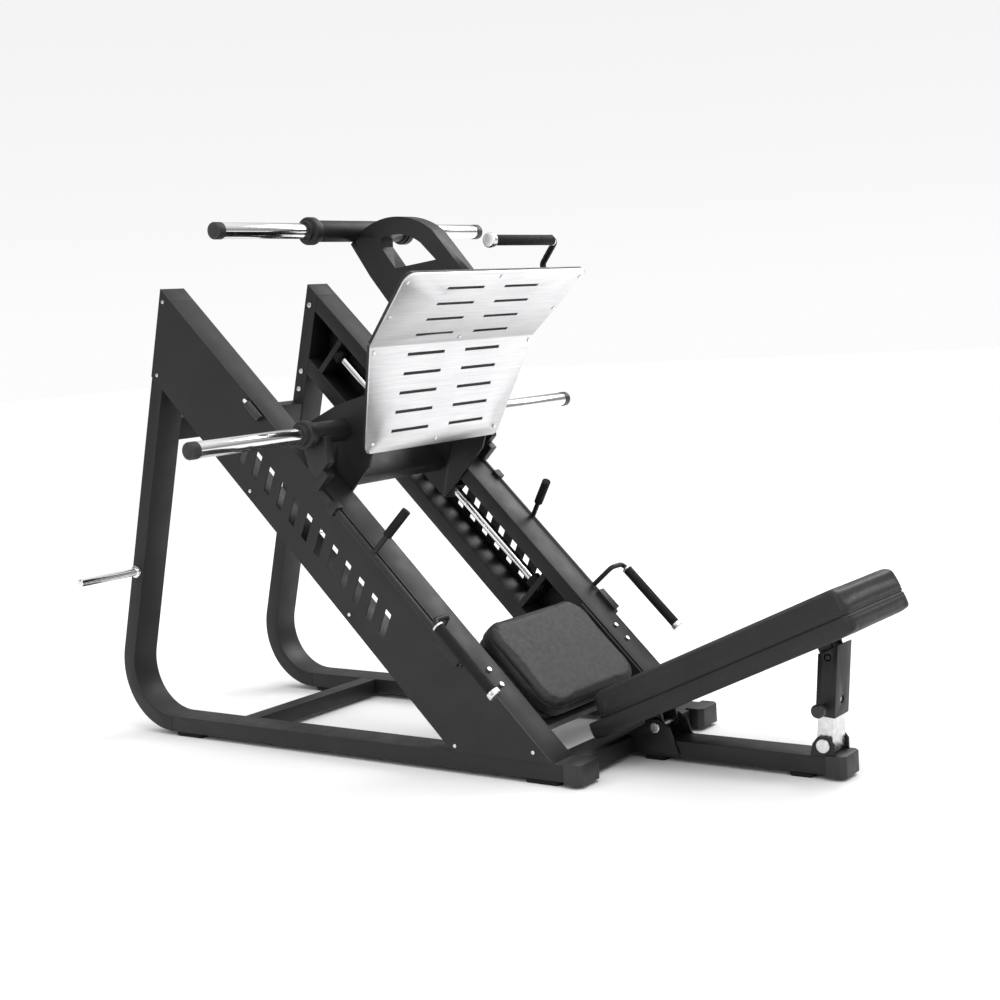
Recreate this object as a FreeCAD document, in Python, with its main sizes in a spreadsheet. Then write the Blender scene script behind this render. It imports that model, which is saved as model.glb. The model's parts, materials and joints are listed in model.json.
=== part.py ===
import FreeCAD, Part
import math
import os
import re
import Sketcher

# Plate-loaded sled leg press on two side frames.
# Frame: +Z up, X across the machine, -Y towards the reclining backrest, origin on the floor
# at the centre of the footprint. Lengths are millimetres, angles are degrees.
# Rail coordinates are used for everything that lies along the inclined rails:
# "along" runs up the rail, "off" is square to it, and both are zero at the rail datum.

Vector = FreeCAD.Vector
Rotation = FreeCAD.Rotation
Placement = FreeCAD.Placement

doc = FreeCAD.newDocument("leg_press")

SIZES = [
    # side frames
    ("rail_inner_x", 293.5), ("tube_width", 100), ("tube_depth", 50), ("tube_wall", 3),
    ("panel_sheet", 3), ("rail_datum_y", 40), ("rail_datum_z", 554), ("rail_cos", 0.70710678),
    ("frame_depth", 246.5), ("floor_tube_bottom", 15), ("floor_tube_front", -531),
    ("bend_centre_y", 1062.5), ("bend_outer_radius", 210), ("leg_lean", 15.3),
    # panel slots
    ("slot_count", 12), ("slot_pitch", 66), ("slot_width", 26), ("slot_height", 76),
    ("slot_slant", 20), ("slot_first", -60), ("slot_low", -182),
    # cross members
    ("beam_width", 98), ("beam_front", -1154), ("front_cross_y", -500), ("front_cross_deep", 100),
    ("rear_floor_cross_y", 765), ("rear_floor_cross_deep", 60),
    ("rear_cross_z", 1012), ("rear_cross_tall", 75), ("rear_cross_deep", 46),
    ("foot_height", 15), ("foot_length", 115), ("beam_foot_length", 70),
    ("shoe_length", 58), ("shoe_margin", 5), ("shoe_plug", 10),
    # guide rods and the stops at their ends
    ("rod_x", 320), ("rod_off", -105), ("rod_radius", 15), ("rod_low", -90), ("rod_high", 1050),
    ("rod_bracket", 20), ("bumper_length", 25), ("bumper_radius", 26),
    # band pegs, buffers and fasteners
    ("buffer_radius", 12), ("buffer_off", -14), ("buffer_along", 700), ("buffer_length", 70),
    ("stud_radius", 6), ("stud_length", 16), ("screw_radius", 6), ("screw_head", 3),
    ("rail_bolt_radius", 8), ("rail_bolt_head", 7), ("leg_bolt_radius", 9), ("leg_bolt_head", 6),
    ("peg_flange", 12), ("peg_radius", 12.5), ("peg_tip_x", 635), ("peg_y", 1167), ("peg_z", 545),
    ("peg_collar", 20),
    # sled
    ("sled_along", 508), ("sled_off", 114), ("cheek_x", 284), ("cheek_sheet", 8),
    ("cross_wide", 40), ("cross_tall", 100), ("cross_along", 486), ("cross_off", -59),
    ("catch_half", 15), ("bearing_length", 110), ("bearing_spread", 190), ("bearing_side", 58),
    ("bearing_gap", 0.1),
    ("sleeve_radius", 33), ("sleeve_wall", 6), ("horn_radius", 24), ("horn_wall", 5),
    ("horn_root", 23.4),
    ("lower_sleeve_end", 437), ("lower_horn_end", 903), ("upper_sleeve_end", 202),
    ("upper_horn_end", 610), ("collar_length", 50), ("collar_radius", 42.5), ("cap_length", 30),
    ("upper_horn_along", 1027), ("upper_horn_off", 450), ("tower_width", 60), ("tower_wall", 4),
    # footplate
    ("plate_sheet", 5), ("pan_sheet", 5), ("pan_depth", 12), ("plate_half", 412),
    ("plate_top_half", 464),
    ("plate_foot_half", 332), ("plate_upper", 276), ("plate_lower", 339), ("plate_along", 515),
    ("plate_off", 455), ("plate_lower_tilt", 110.2), ("tread_length", 180), ("tread_high", 10),
    ("tread_inner_x", 52), ("tread_pitch", 60.6), ("plate_corner", 28), ("pan_inset", 3),
    # safety stops
    ("stop_x", 412), ("stop_off", -8), ("stop_radius", 10), ("stop_low", -310), ("stop_high", 410),
    ("stop_wall", 3), ("stop_block", 36),
    ("stop_gap", 0.4), ("hinge_gap", 0.1), ("lever_radius", 8), ("grip_radius", 15.5),
    # seat
    ("seat_top_off", 22), ("seat_thick", 65), ("seat_half", 247), ("seat_low", -554),
    ("seat_length", 340), ("seat_corner", 55), ("seat_board", 12), ("board_inset", 15),
    ("seat_sheet", 8), ("seat_bracket_length", 330), ("seat_bracket_deep", 95),
    ("seat_bracket_low", -570), ("seat_bracket_off", -100), ("seat_tube_wide", 40),
    # backrest
    ("back_y", -450), ("back_z", 203), ("back_tilt", 24.13), ("back_length", 850.7),
    ("back_half", 200), ("back_out", 7), ("back_soft", 72), ("back_hard", 48),
    ("back_heel", 50), ("back_corner", 28), ("back_pivot_y", -580), ("back_pivot_z", 100),
    ("back_pin_radius", 10), ("strap_width", 30), ("strap_sheet", 4), ("ear_sheet", 8),
    ("ear_gap", 2), ("strap_x", 24), ("strap_low", 30), ("strap_high", 740),
    ("hinge_lug_x", 36), ("top_lug_x", 26), ("lug_sheet", 10),
    # telescoping post
    ("post_y", -1101.5), ("post_z", 96), ("post_lean", 5), ("post_span", 245.4),
    ("post_outer", 56), ("post_inner", 46), ("post_extra_width", 34), ("post_slip", 0.3),
    ("post_wall", 3), ("post_low", 80), ("post_bolt_radius", 8), ("post_pin_radius", 7),
    ("post_pin_play", 4), ("knob_radius", 19), ("pull_pin_up", 107), ("pull_pin_radius", 5),
]

sheet = doc.addObject("Spreadsheet::Sheet", "sizes")
for row, (alias, number) in enumerate(SIZES, 1):
    sheet.set("A%d" % row, alias)
    sheet.set("B%d" % row, str(number))
    sheet.setAlias("B%d" % row, alias)
doc.recompute()

ALIASES = set(alias for alias, number in SIZES)
WORD = re.compile(r"[a-z_]+")
SIDES = (("left", -1), ("right", 1))
AXIS_X = Vector(1, 0, 0)
AXIS_Y = Vector(0, 1, 0)
SIDE_VIEW = Rotation(Vector(1, 1, 1), 120)
SUB_PARTS = []


def bound(text):
    """The expression with each alias written as a cell of the sheet."""
    return WORD.sub(lambda hit: "sizes." + hit.group() if hit.group() in ALIASES else hit.group(),
                    str(text))


def value(text):
    """The expression's present value as a number."""
    return float(sheet.evalExpression(bound(text)))


def sub_part(item, label):
    """Marks an object of the document as a finished sub-part."""
    item.Label = label
    SUB_PARTS.append(item)
    return item


def put(item, at, turn=None):
    """Places an object: at is three expressions, turn is a rotation."""
    item.Placement = Placement(Vector(0, 0, 0), turn or Rotation())
    for axis, text in zip("xyz", at):
        item.setExpression("Placement.Base." + axis, bound(text))
    return item


def on_rail(across, along, off):
    """Three expressions for a point given in rail coordinates."""
    return (across,
            "rail_datum_y + ((%s) - (%s)) * rail_cos" % (along, off),
            "rail_datum_z + ((%s) + (%s)) * rail_cos" % (along, off))


RAIL_TURN = Rotation(AXIS_X, 45)
RAIL_SIDE = RAIL_TURN.multiply(SIDE_VIEW)
ALONG_X = Rotation(AXIS_Y, 90)
ALONG_RAIL = Rotation(AXIS_X, -45)
BACK_TURN = Rotation(AXIS_X, -value("back_tilt"))
BACK_SIDE = BACK_TURN.multiply(Rotation(Vector(0, -1, 0), Vector(0, 0, 1), Vector(-1, 0, 0), "XYZ"))
POST_TURN = Rotation(AXIS_X, value("post_lean"))


def on_back(across, up, out):
    """A point of the backrest: up runs along the pad from the seat end, out is off its face."""
    lean = "back_tilt * 1 deg"
    return (across,
            "back_y - (%s) * cos(%s) + (%s) * sin(%s)" % (up, lean, out, lean),
            "back_z + (%s) * sin(%s) + (%s) * cos(%s)" % (up, lean, out, lean))


def on_post(across, up, front=0):
    """A point of the post: up runs from its base bolt, front is towards the backrest's foot."""
    lean = "post_lean * 1 deg"
    return (across,
            "post_y - (%s) * sin(%s) + (%s) * cos(%s)" % (up, lean, front, lean),
            "post_z + (%s) * cos(%s) + (%s) * sin(%s)" % (up, lean, front, lean))


def solid_box(name, size, at, turn=None):
    """A box with its low corner at the given point."""
    item = doc.addObject("Part::Box", name)
    for side, text in zip(("Length", "Width", "Height"), size):
        item.setExpression(side, bound(text))
    return put(item, at, turn)


def solid_round(name, radius, length, at, turn=None):
    """A cylinder from the given point along its own Z."""
    item = doc.addObject("Part::Cylinder", name)
    item.setExpression("Radius", bound(radius))
    item.setExpression("Height", bound(length))
    return put(item, at, turn)


def joined(label, pieces):
    """Several solids kept side by side in one sub-part, or welded where they touch."""
    item = doc.addObject("Part::MultiFuse", label)
    item.Shapes = pieces
    return sub_part(item, label)


def group(label, pieces):
    """Separate solids of one kind in one sub-part."""
    item = doc.addObject("Part::Compound", label)
    item.Links = pieces
    return sub_part(item, label)


def minus(name, base, tools):
    """The base with every tool cut out of it."""
    for count, tool in enumerate(tools):
        cut = doc.addObject("Part::Cut", "%s_cut_%d" % (name, count))
        cut.Base = base
        cut.Tool = tool
        base = cut
    return base


def origin_plane(body, role):
    """One of a body's own origin planes."""
    return [plane for plane in body.Origin.OriginFeatures if plane.Role == role][0]


def add_outline(sketch, points):
    """A closed polygon whose corners are bound to the sheet."""
    corners = [Vector(value(across), value(up), 0) for across, up in points]
    first = sketch.GeometryCount
    for start, end in zip(corners, corners[1:] + corners[:1]):
        sketch.addGeometry(Part.LineSegment(start, end), False)
    for step, (across, up) in enumerate(points):
        here = first + step
        following = first + (step + 1) % len(points)
        sketch.addConstraint(Sketcher.Constraint("Coincident", here, 2, following, 1))
        for kind, text in (("DistanceX", across), ("DistanceY", up)):
            index = sketch.addConstraint(Sketcher.Constraint(kind, -1, 1, here, 1, value(text)))
            sketch.setExpression("Constraints[%d]" % index, bound(text))


def add_circle(sketch, across, up, radius):
    """A round hole whose centre and radius are bound to the sheet."""
    centre = Vector(value(across), value(up), 0)
    here = sketch.addGeometry(Part.Circle(centre, Vector(0, 0, 1), value(radius)), False)
    for kind, text in (("DistanceX", across), ("DistanceY", up)):
        index = sketch.addConstraint(Sketcher.Constraint(kind, -1, 1, here, 3, value(text)))
        sketch.setExpression("Constraints[%d]" % index, bound(text))
    index = sketch.addConstraint(Sketcher.Constraint("Radius", here, value(radius)))
    sketch.setExpression("Constraints[%d]" % index, bound(radius))


def new_sketch(body, role):
    """A sketch on one of the body's own origin planes."""
    sketch = body.newObject("Sketcher::SketchObject", body.Name + "_outline")
    sketch.AttachmentSupport = [(origin_plane(body, role), "")]
    sketch.MapMode = "FlatFace"
    return sketch


def round_corners(body, radius, corners):
    """Fillets the body's edges that stand on the given corners of its outline."""
    base = body.Tip
    spots = [(value(across), value(up)) for across, up in corners]
    names = []
    for count, edge in enumerate(base.Shape.Edges, 1):
        start, end = edge.Vertexes[0].Point, edge.Vertexes[-1].Point
        upright = math.hypot(start.x - end.x, start.y - end.y) < 0.001
        if upright and any(math.hypot(start.x - x, start.y - y) < 0.01 for x, y in spots):
            names.append("Edge%d" % count)
    fillet = body.newObject("PartDesign::Fillet", body.Name + "_rounding")
    fillet.Base = (base, names)
    fillet.setExpression("Radius", bound(radius))
    doc.recompute()


def prism(name, points, length, at, turn=None, rounds=(), holes=(), windows=()):
    """An outline padded along its normal, with rounded corners, round holes and windows."""
    body = doc.addObject("PartDesign::Body", name)
    sketch = new_sketch(body, "XY_Plane")
    for outline in (points,) + tuple(windows):
        add_outline(sketch, outline)
    for across, up, radius in holes:
        add_circle(sketch, across, up, radius)
    pad = body.newObject("PartDesign::Pad", name + "_pad")
    pad.Profile = sketch
    pad.setExpression("Length", bound(length))
    doc.recompute()
    for radius, corners in rounds:
        round_corners(body, radius, [points[corner] for corner in corners])
    return put(body, at, turn)


def turned(name, profile, at, turn=None):
    """A turned piece: the profile holds radius and height, and spins about its own Z."""
    body = doc.addObject("PartDesign::Body", name)
    sketch = new_sketch(body, "XZ_Plane")
    add_outline(sketch, profile)
    spin = body.newObject("PartDesign::Revolution", name + "_spin")
    spin.Profile = sketch
    spin.ReferenceAxis = (sketch, ["V_Axis"])
    spin.Angle = 360
    return put(body, at, turn)


def rectangle(wide, tall, inset="0"):
    """A centred rectangle's corners, moved in by the inset."""
    half_wide = "((%s) / 2 - (%s))" % (wide, inset)
    half_tall = "((%s) / 2 - (%s))" % (tall, inset)
    return [("-" + half_wide, "-" + half_tall), (half_wide, "-" + half_tall),
            (half_wide, half_tall), ("-" + half_wide, half_tall)]


def square_tube(name, wide, tall, wall, length, at, turn=None, rounds=()):
    """A rectangular hollow section from the centre of its start along its own Z."""
    return prism(name, rectangle(wide, tall), length, at, turn, rounds,
                 windows=[rectangle(wide, tall, wall)])


def round_tube(name, outer, inner, length, at, turn=None):
    """A round hollow section from the centre of its start along its own Z."""
    profile = [(inner, "0"), (outer, "0"), (outer, length), (inner, length)]
    return turned(name, profile, at, turn)


def bent_rod(name, radius, points, bend):
    """A round rod through the given points, with an arc at each inner one."""
    stops = [Vector(*[value(text) for text in point]) for point in points]
    edges = []
    start = stops[0]
    for before, corner, after in zip(stops, stops[1:], stops[2:]):
        back = (before - corner).normalize()
        ahead = (after - corner).normalize()
        half = back.getAngle(ahead) / 2
        reach = bend / math.tan(half)
        enter, leave = corner + back * reach, corner + ahead * reach
        middle = corner + (back + ahead).normalize() * (bend / math.sin(half) - bend)
        edges += [Part.LineSegment(start, enter).toShape(), Part.Arc(enter, middle, leave).toShape()]
        start = leave
    edges.append(Part.LineSegment(start, stops[-1]).toShape())
    path = Part.Wire(edges)
    ring = Part.Wire([Part.Circle(stops[0], stops[1] - stops[0], value(radius)).toShape()])
    item = doc.addObject("Part::Feature", name)
    item.Shape = path.makePipeShell([ring], True, False)
    return item


def span(sign, near, far):
    """The low X and the length of a piece that reaches from near to far on one side."""
    low = near if sign > 0 else "-(%s)" % far
    return low, "(%s) - (%s)" % (far, near)


# ---------------------------------------------------------------- side frames

RAIL_OUTER = "rail_inner_x + tube_width"
PANEL_OUTER = "rail_inner_x + tube_width + panel_sheet"
LEAN = "leg_lean * 1 deg"
BEND_CENTRE_Z = "(floor_tube_bottom + bend_outer_radius)"
LEG_TURN = Rotation(AXIS_X, value("leg_lean"))


def leg_face(off, inset):
    """How far along the rail the leg's rear face lies, moved in by the inset, at a given off."""
    return ("((bend_centre_y - rail_datum_y) * cos({0}) + ({1} - rail_datum_z) * sin({0})"
            " + bend_outer_radius - ({3}) + ({2}) * rail_cos * (cos({0}) - sin({0})))"
            " / (rail_cos * (cos({0}) + sin({0})))").format(LEAN, BEND_CENTRE_Z, off, inset)


def floor_face(off):
    """How far along the rail the floor tube's top lies at a given off."""
    return "((floor_tube_bottom + tube_depth - rail_datum_z) / rail_cos - (%s))" % off


def leg_middle(height):
    """The Y of the leg's middle line at a given height."""
    return ("((bend_centre_y * cos({0}) + ({1} - ({2})) * sin({0}) + bend_outer_radius"
            " - tube_depth / 2) / cos({0}))").format(LEAN, BEND_CENTRE_Z, height)


def leg_block(low_x, width, inset, top_off):
    """The leg's bend and leaning run as one solid, moved in by the inset all round."""
    centre = Vector(0, value("bend_centre_y"), value(BEND_CENTRE_Z))
    lean = math.radians(value("leg_lean"))
    radii = (value("bend_outer_radius") - inset,
             value("bend_outer_radius - tube_depth") + inset)
    middle_turn = (lean - math.pi / 2) / 2
    faces = []
    for radius in radii:
        faces.append([centre + Vector(0, math.cos(turn), math.sin(turn)) * radius
                      for turn in (-math.pi / 2, middle_turn, lean)])
    tops = []
    for depth in (inset, value("tube_depth") - inset):
        point = on_rail("0", leg_face(top_off, depth), top_off)
        tops.append(Vector(*[value(text) for text in point]))
    outer, inner = faces
    edges = [Part.Arc(*outer), Part.LineSegment(outer[2], tops[0]),
             Part.LineSegment(tops[0], tops[1]), Part.LineSegment(tops[1], inner[2]),
             Part.Arc(inner[2], inner[1], inner[0]), Part.LineSegment(inner[0], outer[0])]
    block = Part.Face(Part.Wire([edge.toShape() for edge in edges])).extrude(AXIS_X * width)
    block.translate(AXIS_X * low_x)
    return block


def rail_outline(top, bottom):
    """Side outline of a rail tube between the floor tube and the leg's front face."""
    return [(floor_face(top), top), (leg_face(top, "tube_depth"), top),
            (leg_face(bottom, "tube_depth"), bottom), (floor_face(bottom), bottom)]


def rail_tube(name, low_x, top, bottom):
    """A rail tube with its ends cut to the floor tube and to the leg."""
    outside = prism(name + "_outside", rail_outline(top, bottom), "tube_width",
                    on_rail(low_x, "0", "0"), RAIL_SIDE)
    start = floor_face(top) + " - tube_width"
    length = leg_face(top, "0") + " - " + start.replace(" - tube_width", "") + " + tube_width"
    inside = solid_box(name + "_inside",
                       ("tube_width - 2 * tube_wall", length, "tube_depth - 2 * tube_wall"),
                       on_rail("%s + tube_wall" % low_x, start, "%s + tube_wall" % bottom),
                       RAIL_TURN)
    return sub_part(minus(name, outside, [inside]), name)


def panel_windows():
    """A row of slanted slots in the side panel."""
    windows = []
    drift = "slot_height * tan(slot_slant * 1 deg)"
    for count in range(int(value("slot_count"))):
        start = "slot_first + %d * slot_pitch" % count
        windows.append([(start, "slot_low"), (start + " + slot_width", "slot_low"),
                        (start + " + slot_width + " + drift, "slot_low + slot_height"),
                        (start + " + " + drift, "slot_low + slot_height")])
    return windows


for side, sign in SIDES:
    low_x, width = span(sign, "rail_inner_x", RAIL_OUTER)
    middle_x = "%d * (rail_inner_x + tube_width / 2)" % sign

    floor_tube = square_tube(side + "_floor_tube", "tube_width", "tube_depth", "tube_wall",
                             "bend_centre_y - floor_tube_front",
                             (middle_x, "floor_tube_front", "floor_tube_bottom + tube_depth / 2"),
                             Rotation(AXIS_X, -90))
    sub_part(floor_tube, side + "_floor_tube")

    leg = doc.addObject("Part::Feature", side + "_rear_leg")
    wall = value("tube_wall")
    leg.Shape = leg_block(value(low_x), value("tube_width"), 0, "0").cut(
        leg_block(value(low_x) + wall, value("tube_width") - 2 * wall, wall, "-tube_wall"))
    sub_part(leg, side + "_rear_leg")

    rail_tube(side + "_top_rail", low_x, "0", "-tube_depth")
    rail_tube(side + "_lower_rail", low_x, "-(frame_depth - tube_depth)", "-frame_depth")

    panel_x, sheet_thick = span(sign, RAIL_OUTER, PANEL_OUTER)
    panel = prism(side + "_side_panel",
                  [(floor_face("0"), "0"), (leg_face("0", "0"), "0"),
                   (leg_face("-frame_depth", "0"), "-frame_depth"),
                   (floor_face("-frame_depth"), "-frame_depth")],
                  "panel_sheet", on_rail(panel_x, "0", "0"), RAIL_SIDE, windows=panel_windows())
    sub_part(panel, side + "_side_panel")

# ---------------------------------------------------------------- cross members and base

CROSS_LENGTH = "2 * rail_inner_x"
FLOOR_MIDDLE_Z = "floor_tube_bottom + tube_depth / 2"

sub_part(square_tube("front_cross_tube", "tube_depth", "front_cross_deep", "tube_wall",
                     CROSS_LENGTH, ("-rail_inner_x", "front_cross_y + front_cross_deep / 2",
                                    FLOOR_MIDDLE_Z), ALONG_X), "front_cross_tube")
sub_part(square_tube("rear_floor_cross_tube", "tube_depth", "rear_floor_cross_deep", "tube_wall",
                     CROSS_LENGTH,
                     ("-rail_inner_x", "rear_floor_cross_y + rear_floor_cross_deep / 2",
                      FLOOR_MIDDLE_Z), ALONG_X), "rear_floor_cross_tube")
sub_part(square_tube("rear_cross_tube", "rear_cross_tall", "rear_cross_deep", "tube_wall",
                     CROSS_LENGTH, ("-rail_inner_x", leg_middle("rear_cross_z"), "rear_cross_z"),
                     LEG_TURN.multiply(ALONG_X)), "rear_cross_tube")
sub_part(square_tube("centre_beam", "beam_width", "tube_depth", "tube_wall",
                     "front_cross_y - beam_front", ("0", "beam_front", FLOOR_MIDDLE_Z),
                     Rotation(AXIS_X, -90)), "centre_beam")


def end_shoe(name, middle_x, width, front_y):
    """A moulded shoe over a tube's front end, with cut front corners."""
    half = "((%s) / 2 + shoe_margin)" % width
    cut = "(shoe_length / 4)"
    front = "-shoe_plug"
    outline = [("-%s + %s" % (half, cut), front), ("%s - %s" % (half, cut), front),
               (half, "%s + %s" % (front, cut)), (half, "shoe_length - shoe_plug"),
               ("-" + half, "shoe_length - shoe_plug"), ("-" + half, "%s + %s" % (front, cut))]
    low_z = "floor_tube_bottom - shoe_margin"
    outside = prism(name, outline, "tube_depth + 2 * shoe_margin", (middle_x, front_y, low_z))
    pocket = solid_box(name + "_pocket", (width, "shoe_length", "tube_depth"),
                       ("%s - (%s) / 2" % (middle_x, width), front_y, "floor_tube_bottom"))
    relief = solid_box(name + "_relief", ("2 * rail_inner_x", "front_cross_deep", "tube_depth"),
                       ("-rail_inner_x", "front_cross_y", "floor_tube_bottom"))
    return minus(name + "_shoe", outside, [pocket, relief])


FLOOR_TUBE_X = "(rail_inner_x + tube_width / 2)"
group("tube_end_shoes", [
    end_shoe("left_end", "-" + FLOOR_TUBE_X, "tube_width", "floor_tube_front"),
    end_shoe("right_end", FLOOR_TUBE_X, "tube_width", "floor_tube_front"),
    end_shoe("beam_end", "0", "beam_width", "beam_front")])


def rubber_foot(name, middle_x, middle_y, wide, length):
    """A flat rubber foot with rounded corners."""
    return prism(name, rectangle(wide, length), "foot_height", (middle_x, middle_y, "0"),
                 rounds=[("foot_height * 0.8", range(4))])


FOOT_SPOTS = [("-" + FLOOR_TUBE_X, 998, 90, "foot_length"), (FLOOR_TUBE_X, 998, 90, "foot_length"),
              ("-" + FLOOR_TUBE_X, -402, 90, "foot_length"),
              (FLOOR_TUBE_X, -402, 90, "foot_length"),
              ("0", -1027, 90, "beam_foot_length"), ("0", -565, 90, "beam_foot_length")]
group("rubber_feet", [rubber_foot("foot_%d" % count, spot[0], spot[1], spot[2], spot[3])
                      for count, spot in enumerate(FOOT_SPOTS)])

# ---------------------------------------------------------------- guide rods

RECESS_LOW = "-(frame_depth - tube_depth)"
rod_brackets = []
rod_bumpers = []
for side, sign in SIDES:
    rod_at = "%d * rod_x" % sign
    rod = solid_round(side + "_guide_rod", "rod_radius", "rod_high - rod_low",
                      on_rail(rod_at, "rod_low", "rod_off"), ALONG_RAIL)
    sub_part(rod, side + "_guide_rod")
    low_x, width = span(sign, "rail_inner_x", RAIL_OUTER)
    for end, start, bumper_start in (
            ("low", "rod_low", "rod_low + rod_bracket"),
            ("high", "rod_high - rod_bracket", "rod_high - rod_bracket - bumper_length")):
        name = "%s_%s" % (side, end)
        block = solid_box(name + "_block", (width, "rod_bracket", "frame_depth - 2 * tube_depth"),
                          on_rail(low_x, start, RECESS_LOW), RAIL_TURN)
        bore = solid_round(name + "_bore", "rod_radius", "rod_bracket",
                           on_rail(rod_at, start, "rod_off"), ALONG_RAIL)
        rod_brackets.append(minus(name + "_rod_bracket", block, [bore]))
        rod_bumpers.append(round_tube(name + "_bumper", "bumper_radius", "rod_radius",
                                      "bumper_length", on_rail(rod_at, bumper_start, "rod_off"),
                                      ALONG_RAIL))
group("guide_rod_brackets", rod_brackets)
group("rod_bumpers", rod_bumpers)

# ---------------------------------------------------------------- pegs and fasteners

pegs = []
for side, sign in SIDES:
    low_x, length = span(sign, RAIL_OUTER, "peg_tip_x")
    peg = solid_round(side + "_peg", "peg_radius", length, (low_x, "peg_y", "peg_z"), ALONG_X)
    collar_x, collar_length = span(sign, RAIL_OUTER, "%s + peg_flange" % RAIL_OUTER)
    collar = solid_round(side + "_peg_collar", "peg_collar", collar_length,
                         (collar_x, "peg_y", "peg_z"), ALONG_X)
    welded = doc.addObject("Part::MultiFuse", side + "_band_peg")
    welded.Shapes = [peg, collar]
    pegs.append(welded)
group("band_pegs", pegs)

SCREW_SPOTS = [(-628, -25), (1243, -25), (1119, -225), (597, -225), (77, -225), (-440, -225)]
screws = []
for side, sign in SIDES:
    low_x, length = span(sign, PANEL_OUTER, "%s + screw_head" % PANEL_OUTER)
    for count, (along, off) in enumerate(SCREW_SPOTS):
        screws.append(solid_round("%s_screw_%d" % (side, count), "screw_radius", length,
                                  on_rail(low_x, along, off), ALONG_X))
group("panel_screws", screws)

bolts = []
buffers = []
for side, sign in SIDES:
    for along in (-356, -413):
        bolts.append(solid_round("%s_rail_bolt_%d" % (side, -along), "rail_bolt_radius",
                                 "rail_bolt_head", on_rail("%d * 345" % sign, along, "0"),
                                 RAIL_TURN))
    head_x, head = span(sign, "rail_inner_x - leg_bolt_head", "rail_inner_x")
    for height in (1384, 1156, 1094):
        bolts.append(solid_round("%s_leg_bolt_%d" % (side, height), "leg_bolt_radius", head,
                                 (head_x, leg_middle(height), height), ALONG_X))
    stud_x = "%d * (%s + buffer_radius)" % (sign, PANEL_OUTER)
    bolts.append(solid_round(side + "_buffer_stud", "stud_radius", "stud_length",
                             on_rail(stud_x, "buffer_along + buffer_length", "buffer_off"),
                             ALONG_RAIL))
    buffers.append(solid_round(side + "_buffer", "buffer_radius", "buffer_length",
                               on_rail(stud_x, "buffer_along", "buffer_off"), ALONG_RAIL))
group("frame_bolts", bolts)
group("rail_buffers", buffers)

# ---------------------------------------------------------------- seat

seat_outline = rectangle("2 * seat_half", "seat_length")
seat_middle = "(seat_low + seat_length / 2)"
sub_part(prism("seat_cushion", seat_outline, "seat_thick",
               on_rail("0", seat_middle, "seat_top_off - seat_thick"), RAIL_TURN,
               rounds=[("seat_corner", range(4))]), "seat_cushion")
BOARD_LOW = "seat_top_off - seat_thick - seat_board"
sub_part(prism("seat_board", rectangle("2 * seat_half", "seat_length", "board_inset"), "seat_board",
               on_rail("0", seat_middle, BOARD_LOW), RAIL_TURN,
               rounds=[("seat_corner - board_inset", range(4))]), "seat_board")

seat_pieces = []
for side, sign in SIDES:
    low_x, width = span(sign, "rail_inner_x - seat_sheet", "rail_inner_x")
    seat_pieces.append(solid_box(side + "_seat_bracket",
                                 (width, "seat_bracket_length", "seat_bracket_deep"),
                                 on_rail(low_x, "seat_bracket_low", "seat_bracket_off"),
                                 RAIL_TURN))
for count, along in enumerate((-560, -300)):
    seat_pieces.append(square_tube(
        "seat_tube_%d" % count, "seat_tube_wide", "tube_depth", "tube_wall",
        "2 * (rail_inner_x - seat_sheet)",
        on_rail("-(rail_inner_x - seat_sheet)", "%d + tube_depth / 2" % along,
                "%s - seat_tube_wide / 2" % BOARD_LOW), RAIL_TURN.multiply(ALONG_X)))
joined("seat_frame", seat_pieces)

# ---------------------------------------------------------------- hinge brackets on the beam

BEAM_HALF = "beam_width / 2"
EAR_FOOT = "floor_tube_bottom + tube_depth"
ear_outline = [(-655, 25), ("front_cross_y", 25), ("front_cross_y", EAR_FOOT),
               (-470, EAR_FOOT), (-540, 105), (-565, 124), (-595, 124), (-625, 105)]
SHOE_TOP = "floor_tube_bottom + tube_depth + shoe_margin"
SHOE_BACK = "beam_front + shoe_length - shoe_plug"
post_ear = [("post_y - 32", SHOE_TOP), (SHOE_BACK, SHOE_TOP), (SHOE_BACK, EAR_FOOT),
            ("post_y + 40", EAR_FOOT), ("post_y + 32", 100), ("post_y + 16", 120),
            ("post_y - 16", 120), ("post_y - 32", 100)]
POST_EAR_NEAR = "(post_inner + post_extra_width) / 2 + ear_gap"
POST_EAR_FAR = POST_EAR_NEAR + " + ear_sheet"
ears = []
for side, sign in SIDES:
    low_x, width = span(sign, BEAM_HALF, BEAM_HALF + " + ear_sheet")
    ears.append(prism(side + "_back_ear", ear_outline, width, (low_x, "0", "0"), SIDE_VIEW,
                      holes=[("back_pivot_y", "back_pivot_z", "back_pin_radius")]))
    low_x, width = span(sign, POST_EAR_NEAR, POST_EAR_FAR)
    ears.append(prism(side + "_post_ear", post_ear, width, (low_x, "0", "0"), SIDE_VIEW,
                      holes=[("post_y", "post_z", "post_bolt_radius")]))
group("hinge_brackets", ears)


def headed_pin(name, radius, half, head_radius, head, at):
    """A pin across the machine with a chamfered head at each end."""
    profile = [("0", "0"), ("%s - 2" % head_radius, "0"), (head_radius, "2"), (head_radius, head),
               (radius, head), (radius, "2 * (%s) + %s" % (half, head)),
               (head_radius, "2 * (%s) + %s" % (half, head)),
               (head_radius, "2 * (%s) + 2 * %s - 2" % (half, head)),
               ("%s - 2" % head_radius, "2 * (%s) + 2 * %s" % (half, head)),
               ("0", "2 * (%s) + 2 * %s" % (half, head))]
    return turned(name, profile, ("-(%s) - %s" % (half, head), at[0], at[1]), ALONG_X)


group("hinge_pins", [
    headed_pin("back_pin", "back_pin_radius", BEAM_HALF + " + ear_sheet", "16", "5",
               ("back_pivot_y", "back_pivot_z")),
    headed_pin("post_bolt", "post_bolt_radius", POST_EAR_FAR, "20", "6", ("post_y", "post_z"))])

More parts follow.
